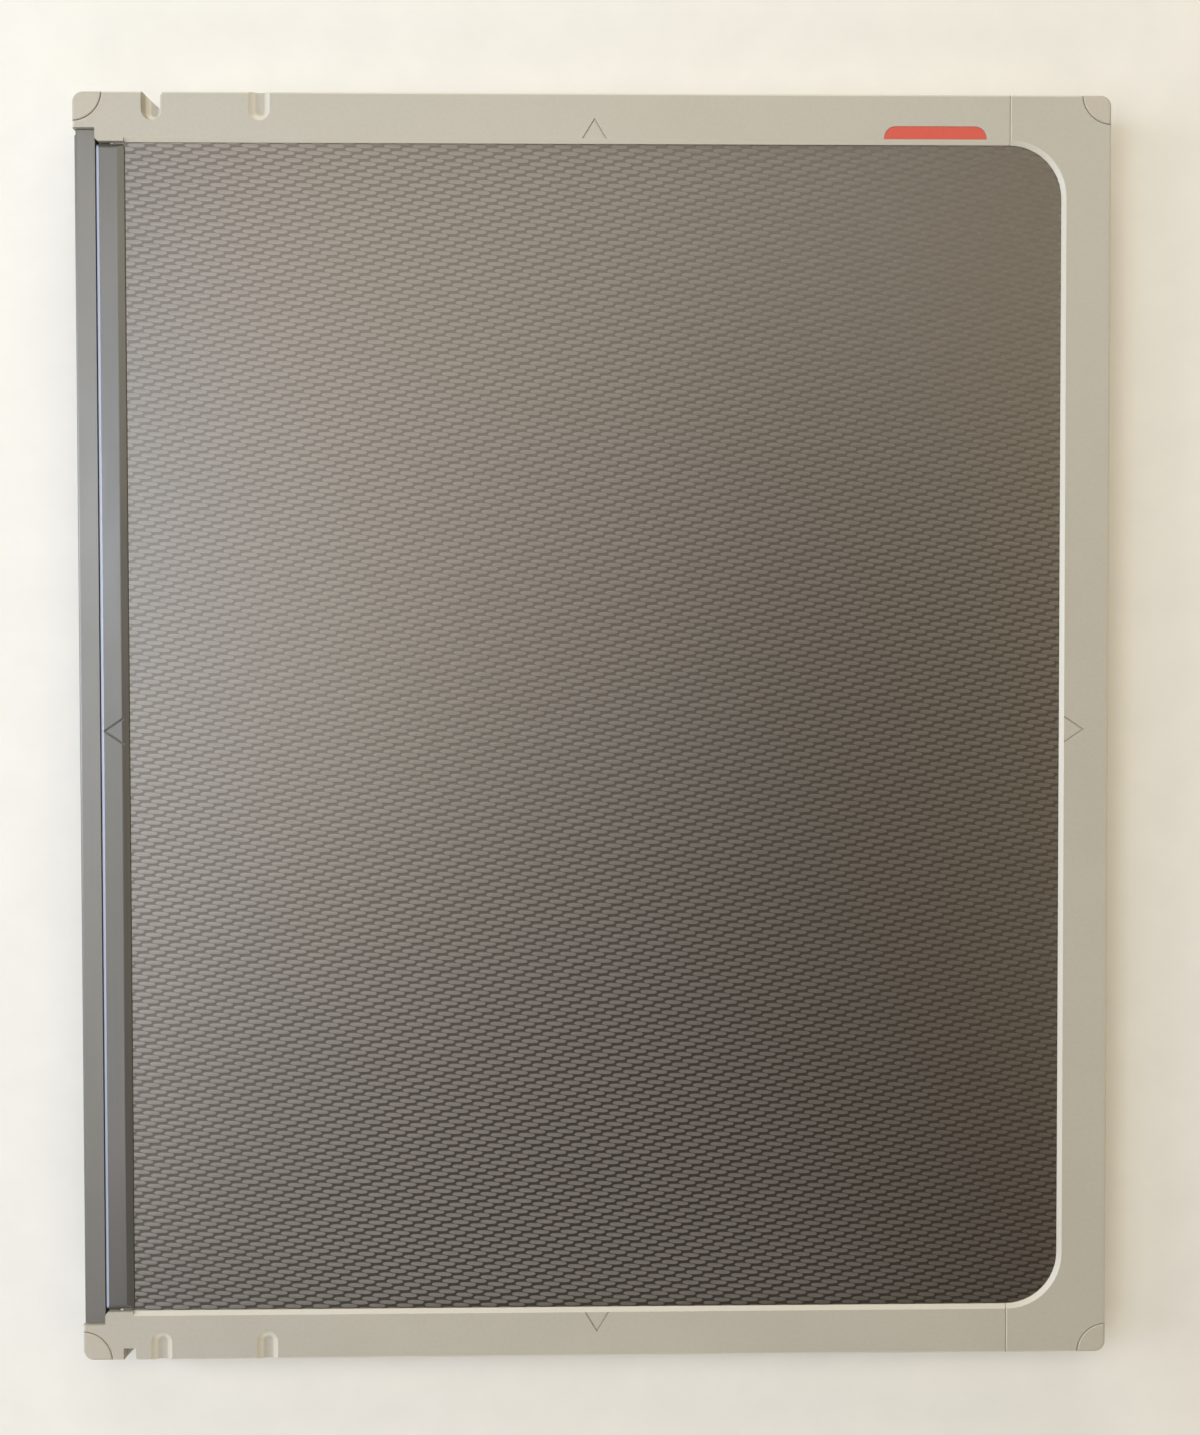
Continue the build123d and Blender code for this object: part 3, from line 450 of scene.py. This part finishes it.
def woven_laminate(weave):
    """Carbon-fibre satin cloth moulded in matt resin. Each float is a bundle of glossy fibres
    that lie along it, so its highlight stretches across the fibres, and the darker hollows,
    where tows dip and cross, have a rounder and weaker one. The hollows' darker colour is partly
    the weave's own pattern and partly painted shade. A filament is 0.007 mm thick, so bundles of
    0.12 mm are drawn. The pattern is worked out as float_reach does, for the rows below and
    above each place, on Object coordinates."""
    made, tree, place = new_material("carbon_satin_laminate")

    def work(operation, *values):
        return add(tree, "Math", *values, operation=operation)

    tows = add(tree, "Mapping", Vector=place, Scale=(1 / weave.pitch,) * 3)
    along = add(tree, "SeparateXYZ", tows, out="X")
    across = add(tree, "SeparateXYZ", tows, out="Y")
    below = work("FLOOR", across)
    reaches = []
    for row in (below, work("ADD", below, 1.0)):
        beside = work("WRAP", work("MULTIPLY_ADD", row, -weave.step, along),
                      weave.harness / 2, -weave.harness / 2)
        off = work("MULTIPLY_ADD", beside, weave.lean, work("SUBTRACT", across, row))
        end = work("POWER", work("ABSOLUTE", work("DIVIDE", beside, weave.float_length)),
                   END_POWER)
        side = work("POWER", work("ABSOLUTE", work("DIVIDE", off, weave.float_width)),
                    SIDE_POWER)
        reaches.append(work("ADD", end, side))
    reach = work("MINIMUM", *reaches)
    # A float's outline is at a reach of 1; its colour fades into the hollow across it.
    on_float = add(tree, "MapRange", Value=reach, From_Min=0.72, From_Max=1.28, To_Min=1.0,
                   To_Max=0.0, interpolation_type="SMOOTHSTEP")
    lengthwise = grains(tree, place, (3.0, 0.12, 3.0), 2.0, 0.6)
    crosswise = grains(tree, place, (0.12, 2.4, 3.0), 2.0, 0.6)
    fibre = add(tree, "Mix", Factor_Float=on_float, A_Float=crosswise, B_Float=lengthwise,
                data_type="FLOAT", out="Result_Float")
    bundle = grains(tree, place, (4.0, 0.8, 4.0), 1.0)
    shade = work("ADD", fibre, bundle)
    light = add(tree, "MapRange", Value=shade, From_Min=0.7, From_Max=1.3, To_Min=0.84,
                To_Max=1.12)
    # Floats take the float colour and hollows the darker one: partly the weave's pattern, partly
    # painted shade.
    tint = add(tree, "Mix", data_type="RGBA", Factor_Float=work("MULTIPLY", on_float, light),
               A_Color=weave.hollow_shade_colour, B_Color=weave.float_colour, out="Result_Color")
    dull = add(tree, "MapRange", Value=on_float, To_Min=0.39, To_Max=0.43)
    stretched = work("MULTIPLY", on_float, 0.82)
    crossways = add(tree, "VectorTransform", (0.0, 1.0, 0.0), vector_type="VECTOR",
                    convert_from="OBJECT", convert_to="WORLD")
    ridge = work("MULTIPLY_ADD", on_float, 0.7, work("MULTIPLY", fibre, 0.2))
    normal = add(tree, "Bump", Height=ridge, Strength=0.15, Distance=0.05 * MM)
    shader = add(tree, "BsdfPrincipled", Base_Color=tint, Roughness=dull, Normal=normal,
                 Metallic=1.0, Anisotropic=stretched, Tangent=crossways)
    add(tree, "OutputMaterial", Surface=shader)
    return made


def closed_sheet(x, y, z, floor, keep):
    """A grid made solid: its kept cells, walls from their rim down to a floor, and the floor."""
    rows, columns = x.shape
    index = np.arange(rows * columns).reshape(rows, columns)
    cells = np.stack([index[:-1, :-1], index[:-1, 1:], index[1:, 1:], index[1:, :-1]], -1)
    top = cells[keep]
    edges = np.concatenate([top[:, [a, (a + 1) % 4]] for a in range(4)]).astype(np.int64)
    forward = edges[:, 0] * rows * columns + edges[:, 1]
    backward = edges[:, 1] * rows * columns + edges[:, 0]
    rim = edges[~np.isin(forward, backward)]
    used = np.unique(top)
    renumber = np.full(rows * columns, -1)
    renumber[used] = np.arange(len(used))
    upper = np.stack([x.ravel(), y.ravel(), z.ravel()], -1)[used]
    following = dict(zip(renumber[rim[:, 0]].tolist(), renumber[rim[:, 1]].tolist()))
    loop = [next(iter(following))]
    while following[loop[-1]] != loop[0]:
        loop.append(following[loop[-1]])
    # The rim's points are doubled, so that the top's smooth shading ends at a sharp edge.
    ring = np.arange(len(loop))
    after = np.roll(ring, -1)
    high = len(upper) + ring
    low = high + len(loop)
    lower = upper[loop].copy()
    lower[:, 2] = floor
    walls = np.stack([high[after], high, low, low[after]], -1)
    vertices = np.concatenate([upper, upper[loop], lower])
    return vertices, renumber[top].tolist() + walls.tolist() + [low[::-1].tolist()]


class CassettePanelWeave(bpy.types.Operator):
    """Weave the panel's outer skin, in strips across the cassette"""
    bl_idname = "cassette.panel_weave"
    bl_label = "Panel weave"

    def execute(self, context):
        weave = context.scene.cassette_weave
        low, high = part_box("panel_outer_skin")
        made = woven_laminate(weave)
        pitch = weave.pitch
        last = int(high.y / pitch * SAMPLES_ACROSS)
        bounds = np.linspace(-last, last, SKIN_STRIPS + 1).round().astype(int)
        columns = np.arange(np.ceil(low.x / pitch - 0.5), np.floor(high.x / pitch - 0.5) + 1)
        for strip, (start, stop) in enumerate(zip(bounds[:-1], bounds[1:]), 1):
            # x and y are the places of the tows. z is the skin's face, less a part of the
            # relief that grows smoothly with the reach of the nearest float.
            along, across = np.meshgrid(columns + 0.5, np.arange(start, stop + 1) / SAMPLES_ACROSS)
            reach = np.minimum(float_reach(weave, along, across, np.floor(across)),
                               float_reach(weave, along, across, np.floor(across) + 1))
            dip = np.clip(reach / HOLLOW_REACH, 0, 1)
            x, y = along * pitch, across * pitch
            z = high.z - weave.relief * dip * dip * (3 - 2 * dip)
            middle_x = (x[:-1, :-1] + x[1:, 1:]) / 2 - (high.x - weave.skin_corner)
            middle_y = np.abs((y[:-1, :-1] + y[1:, 1:]) / 2) - (high.y - weave.skin_corner)
            cut = (middle_x > 0) & (middle_y > 0)
            cut &= np.hypot(middle_x, middle_y) > weave.skin_corner - pitch
            vertices, faces = closed_sheet(x, y, z, low.z, ~cut)
            new_piece(f"woven_skin_{strip}", vertices, faces, made, "tube_half",
                      ["panel_outer_skin"])
        return {"FINISHED"}


# ---------------------------------------------------------------- layers
def coated_sheet(name, tint, roughness, cloud_size, spread, grain):
    """A thin coat dried on a flat base: phosphor in lacquer is matt with a faint grain, and
    film emulsion is smoother and slightly milky. Its tone drifts by spread, a share of its
    brightness, over clouds of cloud_size. Both sizes are in millimetres."""
    made, tree, place = new_material(name)
    cloud = grains(tree, place, (cloud_size, cloud_size, cloud_size), 4.0)
    fine = grains(tree, place, (grain, grain, grain), 2.0)
    drift = add(tree, "MapRange", Value=cloud, From_Min=0.3, From_Max=0.7, To_Min=0.0,
                To_Max=1.0)
    drifting = add(tree, "Mix", data_type="RGBA", Factor_Float=drift,
                   A_Color=times(tint, 1 - spread), B_Color=times(tint, 1 + spread),
                   out="Result_Color")
    dull = add(tree, "MapRange", Value=fine, From_Min=0.3, From_Max=0.7,
               To_Min=roughness - 0.05, To_Max=roughness + 0.05)
    normal = add(tree, "Bump", Height=fine, Strength=0.15, Distance=0.02 * MM)
    shader = add(tree, "BsdfPrincipled", Base_Color=drifting, Roughness=dull, Normal=normal,
                 IOR=1.5)
    add(tree, "OutputMaterial", Surface=shader)
    return made


def cellular_foam(name, tint, cell, roughness, depth):
    """Cut foam with cells of a size in millimetres: paler, matt walls round mouths painted dark,
    a painted shade for the cells' hollow insides. Depth is how far the mouths lie in, in
    millimetres."""
    made, tree, place = new_material(name)
    scaled = add(tree, "Mapping", Vector=place, Scale=(1 / (cell * MM),) * 3)
    centre = add(tree, "TexVoronoi", Vector=scaled, Scale=1.0, out="Distance")
    wall = add(tree, "MapRange", Value=centre, From_Min=0.15, From_Max=0.6, To_Min=0.0,
               To_Max=1.0, interpolation_type="SMOOTHSTEP")
    cloud = grains(tree, place, (15.0, 15.0, 15.0))
    pale = add(tree, "Mix", data_type="RGBA", Factor_Float=cloud, A_Color=tint,
               B_Color=times(tint, 1.3), out="Result_Color")
    # The mouths are painted at half the foam's colour: painted shade.
    tinted = add(tree, "Mix", data_type="RGBA", Factor_Float=wall, A_Color=times(tint, 0.5),
                 B_Color=pale, out="Result_Color")
    normal = add(tree, "Bump", Height=wall, Strength=0.6, Distance=depth * MM)
    dull = add(tree, "Math", wall, -0.08, roughness + 0.08, operation="MULTIPLY_ADD")
    shader = add(tree, "BsdfPrincipled", Base_Color=tinted, Roughness=dull, Normal=normal)
    add(tree, "OutputMaterial", Surface=shader)
    return made


def matted_fibre(name, tint, width, sheen):
    """Felt or pressed board: short fibres of a width in millimetres lie every way, so the eye
    sees a dull, hairy grain. Fibres of 0.03 mm are drawn 0.15 mm or wider."""
    made, tree, place = new_material(name)
    one = grains(tree, place, (width * 6, width, width), 3.0, 0.7)
    two = grains(tree, place, (width, width * 6, width), 3.0, 0.7)
    hair = add(tree, "MapRange", Value=add(tree, "Math", one, two, operation="MAXIMUM"),
               From_Min=0.4, From_Max=0.75, To_Min=0.0, To_Max=1.0)
    tinted = add(tree, "Mix", data_type="RGBA", Factor_Float=hair, A_Color=times(tint, 0.7),
                 B_Color=times(tint, 1.6), out="Result_Color")
    dull = add(tree, "MapRange", Value=hair, From_Min=0.0, From_Max=1.0, To_Min=0.95,
               To_Max=0.8)
    normal = add(tree, "Bump", Height=hair, Strength=0.8, Distance=0.12 * MM)
    shader = add(tree, "BsdfPrincipled", Base_Color=tinted, Roughness=dull, Normal=normal,
                 Sheen_Weight=sheen)
    add(tree, "OutputMaterial", Surface=shader)
    return made


class CassetteLayerFinishes(bpy.types.Operator):
    """Finish the sheets: panel core and inner skin, screens, film, board and lead"""
    bl_idname = "cassette.layer_finishes"
    bl_label = "Layer finishes"

    def execute(self, context):
        layers = context.scene.cassette_layers
        dress(["panel_core"],
              cellular_foam("rigid_foam", layers.core_colour, cell=0.35, roughness=0.75,
                            depth=0.1))
        dress(["panel_inner_skin"],
              moulded_plastic("pressed_laminate", layers.laminate_colour, roughness=0.5,
                              grain=0.5, depth=0.03, edge=0.05 * MM))
        dress(["front_screen", "back_screen"],
              coated_sheet("phosphor_screen", layers.screen_colour, roughness=0.56,
                           cloud_size=40.0, spread=0.015, grain=0.5))
        dress(["film_sheet"],
              coated_sheet("film_emulsion", layers.film_colour, roughness=0.30,
                           cloud_size=60.0, spread=0.03, grain=0.8))
        dress(["core_board"],
              matted_fibre("pressed_fibre_board", layers.board_colour, width=0.3, sheen=0.0))
        dress(["lead_foil", "id_blocker"],
              rolled_lead(context.scene.cassette_metals.lead_colour))
        return {"FINISHED"}


def tube_faces(rings, around):
    """Quads between stacked closed rings of points, and a cap on the first and last ring."""
    index = np.arange(rings * around).reshape(rings, around)
    after = np.roll(index, -1, axis=1)
    sides = np.stack([index[:-1], after[:-1], after[1:], index[1:]], -1).reshape(-1, 4)
    return sides.tolist() + [index[0, ::-1].tolist(), index[-1].tolist()]


PAD_RINGS = 11                 # outlines stacked from the pad's foot to its face
PAD_CORNER_POINTS = 9          # points round each of its corners


class CassetteFoamPad(bpy.types.Operator):
    """Model the pressure pad: a foam slab whose cut sides bow out between its flat faces"""
    bl_idname = "cassette.foam_pad"
    bl_label = "Foam pad"

    def execute(self, context):
        layers = context.scene.cassette_layers
        low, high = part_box("foam_pad")
        # The outline is four quarter circles joined by straight sides. Up the side it is drawn
        # in by pad_bow at both faces and swells between them as half an ellipse.
        rise = np.linspace(-1, 1, PAD_RINGS)
        inset = layers.pad_bow * (1 - np.sqrt(1 - rise ** 2))
        turn = np.linspace(0, pi / 2, PAD_CORNER_POINTS)
        angle = (turn + np.arange(4)[:, None] * pi / 2).ravel()
        side_x = np.repeat([1, -1, -1, 1], PAD_CORNER_POINTS)
        side_y = np.repeat([1, 1, -1, -1], PAD_CORNER_POINTS)
        half_x = (high.x - low.x) / 2 - layers.pad_corner
        half_y = (high.y - low.y) / 2 - layers.pad_corner
        reach = layers.pad_corner - inset[:, None]
        x = (low.x + high.x) / 2 + side_x * half_x + reach * np.cos(angle)
        y = (low.y + high.y) / 2 + side_y * half_y + reach * np.sin(angle)
        z = np.broadcast_to((low.z + (high.z - low.z) * (rise + 1) / 2)[:, None], x.shape)
        vertices = np.stack([x, y, z], -1).reshape(-1, 3)
        made = cellular_foam("open_cell_foam", layers.pad_colour, cell=0.7, roughness=0.85,
                             depth=0.3)
        pad = new_piece("pressure_pad", vertices, tube_faces(*x.shape), made, "back_half",
                        ["foam_pad"], smooth=False)
        return {"FINISHED"}


FELT_ROWS = 320                # sections along a felt strip
FELT_SHOULDER = 0.62           # height at which its upright sides end, as a share
FELT_FALL = 0.3                # how far its top falls off towards them, as a share
FELT_SINK = 0.03               # half of how far it sinks where it is matted, as a share
FELT_WAVES = (530, 310)        # radians to the metre of the two slow waves along it


class CassetteLightSeals(bpy.types.Operator):
    """Model both felt strips: round shoulders and an uneven, slightly matted top"""
    bl_idname = "cassette.light_seals"
    bl_label = "Light seals"

    def execute(self, context):
        made = matted_fibre("wool_felt", context.scene.cassette_layers.felt_colour, width=0.15,
                            sheen=0.6)
        for name in ("latch_seal", "hinge_seal"):
            low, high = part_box(name)
            # Section: a flat foot, upright sides and a top that falls off as the fourth power
            # of the distance from its middle. Along the strip the top sinks by up to a
            # sixteenth in slow waves, where it is matted.
            top = np.linspace(0.96, -0.96, 9)
            across = np.concatenate([[-1, 1, 1], top, [-1]])
            level = np.concatenate([[0, 0, FELT_SHOULDER], 1 - FELT_FALL * top ** 4,
                                    [FELT_SHOULDER]])
            along = np.linspace(low.y, high.y, FELT_ROWS)[:, None]
            waves = np.sin(along * FELT_WAVES[0]) * np.cos(across * 3 + along * FELT_WAVES[1])
            matted = 1 - FELT_SINK * (1 + waves)
            x = np.broadcast_to((low.x + high.x) / 2 + across * (high.x - low.x) / 2,
                                (len(along), len(across)))
            y = np.broadcast_to(along, x.shape)
            z = low.z + (high.z - low.z) * level * matted
            vertices = np.stack([x, y, z], -1).reshape(-1, 3)
            strip = new_piece(f"felt_{name}", vertices, tube_faces(*x.shape), made, "back_half",
                              [name])
        return {"FINISHED"}


# ---------------------------------------------------------------- stage
TABLE_REACH = 4.0              # metres from the table's middle to its sides
TABLE_DROP = 0.05 * MM         # keeps the table clear of the back's face
BACKDROP = (0.35, 1.1)         # metres from the middle at which the backdrop begins and is full


def table_laminate(tint):
    """A matt laminate table top with the faint, broad mottle of its printed paper. Towards the
    end of the lamps' reach it turns into a pale backdrop: the camera and mirroring faces see
    its plain colour there."""
    made, tree, place = new_material("table_laminate")
    mottle = add(tree, "MapRange", Value=grains(tree, place, (14.0, 14.0, 14.0), 4.0, 0.6),
                 From_Min=0.3, From_Max=0.7, To_Min=0.0, To_Max=1.0)
    printed = add(tree, "Mix", data_type="RGBA", Factor_Float=mottle, A_Color=times(tint, 0.98),
                  B_Color=times(tint, 1.02), out="Result_Color")
    lit = add(tree, "BsdfPrincipled", Base_Color=printed, Roughness=0.75)
    away = add(tree, "VectorMath", place, operation="LENGTH", out="Value")
    far = add(tree, "MapRange", Value=away, From_Min=BACKDROP[0], From_Max=BACKDROP[1],
              To_Min=0.0, To_Max=1.0, interpolation_type="SMOOTHSTEP")
    looks = add(tree, "Math", add(tree, "LightPath", out="Is_Camera_Ray"),
                add(tree, "LightPath", out="Is_Glossy_Ray"), operation="MAXIMUM")
    seen = add(tree, "Math", far, looks, operation="MULTIPLY")
    backdrop = add(tree, "MixShader", seen, lit, add(tree, "Emission", tint, 1.0))
    add(tree, "OutputMaterial", Surface=backdrop)
    return made


class CassetteStageSetting(bpy.types.Operator):
    """Set up the camera, the soft boxes, the even light from all round and the table"""
    bl_idname = "cassette.stage"
    bl_label = "Stage"

    def execute(self, context):
        scene = context.scene
        stage = scene.cassette_stage
        scene.view_settings.view_transform = "Standard"
        camera = bpy.data.objects.new("camera", bpy.data.cameras.new("camera"))
        camera.data.lens = stage.lens
        camera.data.clip_start = 0.01
        camera.location = stage.camera_place
        camera.rotation_euler = stage.camera_turn
        scene.collection.objects.link(camera)
        scene.camera = camera
        for name, place, sides, power, tint in LAMPS:
            lamp = bpy.data.lights.new(name, "AREA")
            lamp.shape = "RECTANGLE"
            lamp.size, lamp.size_y = sides
            lamp.energy = power * stage.lamp_level
            lamp.color = linear(tint)[:3]
            box = bpy.data.objects.new(name, lamp)
            box.location = place
            box.rotation_euler = (-Vector(place)).to_track_quat("-Z", "Y").to_euler()
            scene.collection.objects.link(box)
        scene.world = bpy.data.worlds.new("even_light")
        scene.world.use_nodes = True
        tree = scene.world.node_tree
        tree.nodes.clear()
        # The camera sees the table's colour all round; the even light on the part is far less.
        even = add(tree, "Background", (1.0, 1.0, 1.0, 1.0), stage.world_level)
        pale = add(tree, "Background", stage.table_colour, 1.0)
        mixed = add(tree, "MixShader", add(tree, "LightPath", out="Is_Camera_Ray"), even, pale)
        add(tree, "OutputWorld", Surface=mixed)
        mesh = bpy.data.meshes.new("table")
        corners = [(-1, -1), (1, -1), (1, 1), (-1, 1)]
        mesh.from_pydata([(x * TABLE_REACH, y * TABLE_REACH, 0) for x, y in corners], [],
                         [(0, 1, 2, 3)])
        mesh.materials.append(table_laminate(stage.table_colour))
        table = bpy.data.objects.new("table", mesh)
        table.location.z = -TABLE_DROP
        scene.collection.objects.link(table)
        return {"FINISHED"}


# ---------------------------------------------------------------- add-on
GROUPS = {
    "cassette_weave": CassetteWeave,
    "cassette_plastics": CassettePlastics,
    "cassette_metals": CassetteMetals,
    "cassette_layers": CassetteLayers,
    "cassette_stage": CassetteStage,
}
OPERATORS = [
    CassetteStageSetting,
    CassettePanelWeave,
    CassetteFrameMouldings,
    CassetteBars,
    CassetteLatches,
    CassetteHingeAndFasteners,
    CassetteLayerFinishes,
    CassetteFoamPad,
    CassetteLightSeals,
]


class CassettePanel(bpy.types.Panel):
    """The cassette's steps, in the order in which they are made"""
    bl_label = "Film cassette"
    bl_idname = "CASSETTE_PT_steps"
    bl_space_type = "VIEW_3D"
    bl_region_type = "UI"
    bl_category = "Cassette"

    def draw(self, context):
        for operator in OPERATORS:
            self.layout.operator(operator.bl_idname)


def register():
    for made in [*GROUPS.values(), *OPERATORS, CassettePanel]:
        bpy.utils.register_class(made)
    for name, group in GROUPS.items():
        setattr(bpy.types.Scene, name, bpy.props.PointerProperty(type=group))


def unregister():
    for name in GROUPS:
        delattr(bpy.types.Scene, name)
    for made in reversed([*GROUPS.values(), *OPERATORS, CassettePanel]):
        bpy.utils.unregister_class(made)


def main():
    """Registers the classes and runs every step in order."""
    register()
    for operator in OPERATORS:
        step = getattr(bpy.ops.cassette, operator.bl_idname.split(".")[1])
        if step() != {"FINISHED"}:
            raise RuntimeError(f"{operator.bl_label} did not finish")


if __name__ == "__main__":
    main()
